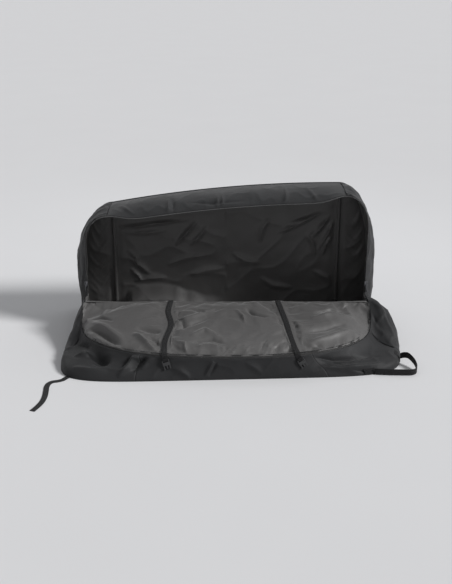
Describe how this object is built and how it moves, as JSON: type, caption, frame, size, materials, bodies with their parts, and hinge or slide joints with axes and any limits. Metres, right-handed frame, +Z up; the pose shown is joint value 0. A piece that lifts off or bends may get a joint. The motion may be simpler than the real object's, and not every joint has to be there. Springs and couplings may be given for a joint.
{
  "type": "soft bicycle travel bag",
  "caption": "Long soft bag standing open on its base, its padded front lid folded forward on the floor, with tie straps, a grab handle and a zip round the edge",
  "frame": {"origin": "on the floor, under the middle of the tub's base, halfway between the back panel and the zip", "axes": "+Z up, +X to the right when looking at the open side, -Y towards the viewer, where the lid lies"},
  "size_m": [1.7364, 1.23, 0.72],
  "materials": {
    "outer_cloth": "coated woven polyester, slight sheen",
    "lining_cloth": "satin nylon",
    "foam": "closed cell foam, stood in for by a light material",
    "board": "matte",
    "webbing": "ribbed woven webbing",
    "zip_tape": "woven tape",
    "zip_coil": "spiral coil",
    "zip_metal": "dark plated",
    "buckle_plastic": "satin",
    "rod_aluminium": "satin tube",
    "rubber": "matte"
  },
  "bodies": {
    "tub": {"base_shell": "outer_cloth", "base_board": "board", "base_lining": "lining_cloth", "back_shell": "outer_cloth", "back_foam": "foam", "back_lining": "lining_cloth", "right_end_shell": "outer_cloth", "right_end_lining": "lining_cloth", "left_end_shell": "outer_cloth", "left_end_lining": "lining_cloth", "top_shell": "outer_cloth", "top_lining": "lining_cloth", "front_wall_shell": "outer_cloth", "front_wall_foam": "foam", "front_wall_lining": "lining_cloth", "right_bellows": "outer_cloth", "left_bellows": "outer_cloth", "tub_zip_tape": "zip_tape", "tub_zip_coil": "zip_coil", "right_rod": "rod_aluminium", "right_rod_foot_cap": "rubber", "right_rod_top_cap": "rubber", "right_rod_sleeve": "lining_cloth", "left_rod": "rod_aluminium", "left_rod_foot_cap": "rubber", "left_rod_top_cap": "rubber", "left_rod_sleeve": "lining_cloth", "left_tie_strap_anchored_end": "webbing", "left_tie_strap_patch": "webbing", "right_tie_strap_anchored_end": "webbing", "right_tie_strap_patch": "webbing", "left_mate_strap": "webbing", "left_mate_patch": "webbing", "right_mate_strap": "webbing", "right_mate_patch": "webbing"},
    "lid": {"lid_shell": "outer_cloth", "lid_foam": "foam", "lid_lining": "lining_cloth", "lid_right_gusset": "outer_cloth", "lid_front_gusset": "outer_cloth", "lid_left_gusset": "outer_cloth", "lid_zip_tape": "zip_tape", "lid_zip_coil": "zip_coil", "left_tie_strap_free_end": "webbing", "right_tie_strap_free_end": "webbing", "grab_handle_upper_patch": "webbing", "grab_handle_lower_patch": "webbing"},
    "right_slider": {"right_slider": "zip_metal"},
    "right_pull_tab": {"right_pull_tab": "zip_metal"},
    "left_slider": {"left_slider": "zip_metal"},
    "left_pull_tab": {"left_pull_tab": "zip_metal"},
    "left_strap_tail": {"left_tie_strap_tail": "webbing"},
    "left_male_buckle": {"left_male_buckle": "buckle_plastic"},
    "right_strap_tail": {"right_tie_strap_tail": "webbing"},
    "right_male_buckle": {"right_male_buckle": "buckle_plastic"},
    "left_female_buckle": {"left_female_buckle": "buckle_plastic"},
    "right_female_buckle": {"right_female_buckle": "buckle_plastic"},
    "grab_handle": {"right_grab_handle": "webbing"},
    "haul_strap": {"left_haul_strap": "webbing"}
  },
  "joints": [
    {"name": "lid_fold", "type": "hinge", "parent": "tub", "child": "lid", "pos_m": [0, -0.255, 0.198], "axis": [-1, 0, 0], "range_deg": [0, 108]},
    {"name": "right_slider_run", "type": "slide", "parent": "tub", "child": "right_slider", "axis": [0, 0, 1], "range_m": [0, 0.23]},
    {"name": "left_slider_run", "type": "slide", "parent": "tub", "child": "left_slider", "axis": [0, 0, 1], "range_m": [0, 0.165]},
    {"name": "right_pull_swing", "type": "hinge", "parent": "right_slider", "child": "right_pull_tab", "pos_m": [0.72015, -0.1615, 0.2443], "axis": [-1, 0, 0], "range_deg": [0, 100]},
    {"name": "left_pull_swing", "type": "hinge", "parent": "left_slider", "child": "left_pull_tab", "pos_m": [-0.72015, -0.1615, 0.2443], "axis": [-1, 0, 0], "range_deg": [0, 100]},
    {"name": "left_strap_end_lift", "type": "hinge", "parent": "lid", "child": "left_strap_tail", "pos_m": [-0.284, -0.73106, 0.11021], "axis": [-1, 0, 0], "range_deg": [0, 70]},
    {"name": "right_strap_end_lift", "type": "hinge", "parent": "lid", "child": "right_strap_tail", "pos_m": [0.33, -0.72203, 0.11022], "axis": [-1, 0, 0], "range_deg": [0, 70]},
    {"name": "left_male_buckle_swing", "type": "hinge", "parent": "left_strap_tail", "child": "left_male_buckle", "pos_m": [-0.2772, -0.74818, 0.08849], "axis": [-0.9511, -0.1194, -0.285], "range_deg": [0, 60]},
    {"name": "right_male_buckle_swing", "type": "hinge", "parent": "right_strap_tail", "child": "right_male_buckle", "pos_m": [0.3423, -0.73524, 0.08806], "axis": [-0.829, -0.1105, -0.5482], "range_deg": [0, 60]},
    {"name": "left_female_buckle_lift", "type": "hinge", "parent": "tub", "child": "left_female_buckle", "pos_m": [-0.278, -0.005, 0.0142], "axis": [-1, 0, 0], "range_deg": [0, 60]},
    {"name": "right_female_buckle_lift", "type": "hinge", "parent": "tub", "child": "right_female_buckle", "pos_m": [0.262, -0.005, 0.0142], "axis": [-1, 0, 0], "range_deg": [0, 60]},
    {"name": "grab_handle_lift", "type": "hinge", "parent": "lid", "child": "grab_handle", "pos_m": [0.8329, -0.57, 0.018], "axis": [-0.7085, -0.7014, -0.0779], "range_deg": [0, 16]},
    {"name": "haul_strap_hang", "type": "hinge", "parent": "lid", "child": "haul_strap", "pos_m": [-0.7313, -0.7331, 0], "axis": [0.8707, -0.4919, 0], "range_deg": [0, 162]}
  ],
  "couplings": [
    {"joint": "haul_strap_hang", "follows": "lid_fold", "ratio": 1.5}
  ]
}
